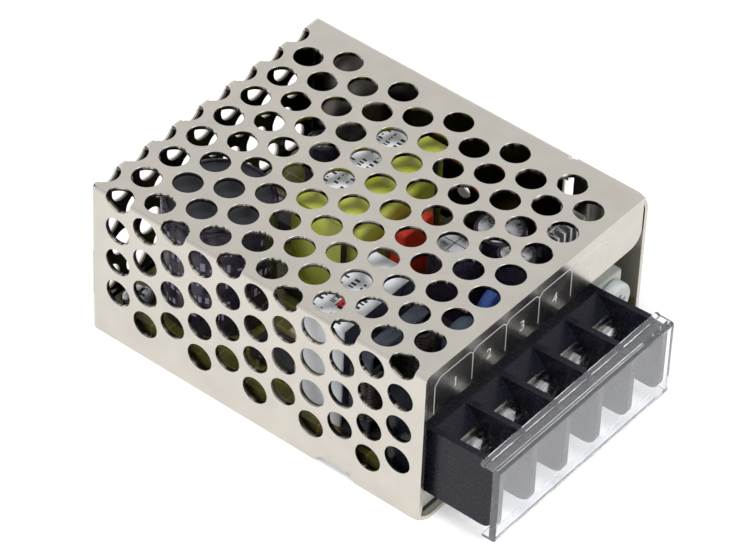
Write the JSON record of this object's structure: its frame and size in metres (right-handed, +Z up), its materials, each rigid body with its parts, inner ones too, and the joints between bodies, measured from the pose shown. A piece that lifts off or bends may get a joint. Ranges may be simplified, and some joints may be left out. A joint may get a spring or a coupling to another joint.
{
  "type": "power supply",
  "caption": "Enclosed switching power supply: folded perforated metal cover, barrier terminals with clear flap and a trimmer.",
  "frame": {"origin": "centre of the bounding box, on the underside of the floor", "axes": "+X from the rear to the terminals, +Y from the perforated side to the plain side, +Z up"},
  "size_m": [0.075, 0.0516, 0.028],
  "materials": {
    "plated_sheet": "satin plated steel sheet",
    "plated_screw": "bright plated steel",
    "white_film": "smooth white film",
    "olive_board": "olive coated laminate",
    "black_moulding": "dark slate moulded plastic",
    "tinned_brass": "tinned brass",
    "clear_flap": "clear moulded plastic",
    "pale_plastic": "pale moulded plastic",
    "white_knob": "white moulded plastic",
    "dark_sleeve": "dark shrunk sleeve",
    "ferrite": "grey ferrite",
    "yellow_tape": "yellow green tape",
    "grey_box": "light grey moulded box",
    "copper_wire": "lacquered copper wire",
    "teal_disc": "teal coated disc",
    "blue_disc": "blue coated disc",
    "dark_box": "dark moulded box",
    "red_box": "red dipped box",
    "bare_aluminium": "bare aluminium"
  },
  "bodies": {
    "case": {"perforated_cover": "plated_sheet", "chassis_tray": "plated_sheet", "cover_screws": "plated_screw", "insulation_sheet": "white_film", "circuit_board": "olive_board", "board_screws": "plated_screw", "terminal_block": "black_moulding", "terminal_tabs": "tinned_brass", "trimmer_body": "pale_plastic", "main_capacitor": "dark_sleeve", "transformer_core": "ferrite", "transformer_winding": "yellow_tape", "transformer_bobbin": "black_moulding", "x_capacitor": "grey_box", "filter_choke_core": "ferrite", "filter_choke_winding": "copper_wire", "filter_choke_bobbin": "black_moulding", "inrush_thermistor": "teal_disc", "y_capacitor": "blue_disc", "output_capacitors": "dark_sleeve", "supply_capacitor": "dark_sleeve", "input_fuse": "dark_box", "bridge_rectifier": "dark_box", "controller_chip": "dark_box", "opto_coupler": "white_knob", "snubber_capacitor": "red_box", "diode_heatsink": "bare_aluminium", "output_diode": "dark_box", "output_choke_core": "ferrite", "output_choke_winding": "copper_wire", "small_resistors": "pale_plastic"},
    "flap": {"terminal_cover": "clear_flap"},
    "trimmer": {"trimmer_knob": "white_knob"},
    "clamp_1": {"clamp_plate_1": "plated_screw"},
    "screw_1": {"terminal_screw_1": "plated_screw"},
    "clamp_2": {"clamp_plate_2": "plated_screw"},
    "screw_2": {"terminal_screw_2": "plated_screw"},
    "clamp_3": {"clamp_plate_3": "plated_screw"},
    "screw_3": {"terminal_screw_3": "plated_screw"},
    "clamp_4": {"clamp_plate_4": "plated_screw"},
    "screw_4": {"terminal_screw_4": "plated_screw"},
    "clamp_5": {"clamp_plate_5": "plated_screw"},
    "screw_5": {"terminal_screw_5": "plated_screw"}
  },
  "joints": [
    {"name": "cover_hinge", "type": "hinge", "parent": "case", "child": "flap", "pos_m": [0.03455, -0.0041, 0.01675], "axis": [0, -1, 0], "range_deg": [0, 100]},
    {"name": "trimmer_turn", "type": "hinge", "parent": "case", "child": "trimmer", "pos_m": [0.0237, 0.01905, 0.0119], "axis": [1, 0, 0], "range_deg": [-135, 135]},
    {"name": "screw_1_feed", "type": "slide", "parent": "case", "child": "clamp_1", "axis": [1, 0, 0], "range_m": [0, 0.0025]},
    {"name": "screw_1_turn", "type": "hinge", "parent": "clamp_1", "child": "screw_1", "pos_m": [0.0285, -0.01939, 0.0123], "axis": [1, 0, 0], "range_deg": [0, 1800]},
    {"name": "screw_2_feed", "type": "slide", "parent": "case", "child": "clamp_2", "axis": [1, 0, 0], "range_m": [0, 0.0025]},
    {"name": "screw_2_turn", "type": "hinge", "parent": "clamp_2", "child": "screw_2", "pos_m": [0.0285, -0.01177, 0.0123], "axis": [1, 0, 0], "range_deg": [0, 1800]},
    {"name": "screw_3_feed", "type": "slide", "parent": "case", "child": "clamp_3", "axis": [1, 0, 0], "range_m": [0, 0.0025]},
    {"name": "screw_3_turn", "type": "hinge", "parent": "clamp_3", "child": "screw_3", "pos_m": [0.0285, -0.00415, 0.0123], "axis": [1, 0, 0], "range_deg": [0, 1800]},
    {"name": "screw_4_feed", "type": "slide", "parent": "case", "child": "clamp_4", "axis": [1, 0, 0], "range_m": [0, 0.0025]},
    {"name": "screw_4_turn", "type": "hinge", "parent": "clamp_4", "child": "screw_4", "pos_m": [0.0285, 0.00347, 0.0123], "axis": [1, 0, 0], "range_deg": [0, 1800]},
    {"name": "screw_5_feed", "type": "slide", "parent": "case", "child": "clamp_5", "axis": [1, 0, 0], "range_m": [0, 0.0025]},
    {"name": "screw_5_turn", "type": "hinge", "parent": "clamp_5", "child": "screw_5", "pos_m": [0.0285, 0.01109, 0.0123], "axis": [1, 0, 0], "range_deg": [0, 1800]}
  ],
  "couplings": [
    {"joint": "screw_1_turn", "follows": "screw_1_feed", "rad_per_m": 12566},
    {"joint": "screw_2_turn", "follows": "screw_2_feed", "rad_per_m": 12566},
    {"joint": "screw_3_turn", "follows": "screw_3_feed", "rad_per_m": 12566},
    {"joint": "screw_4_turn", "follows": "screw_4_feed", "rad_per_m": 12566},
    {"joint": "screw_5_turn", "follows": "screw_5_feed", "rad_per_m": 12566}
  ]
}
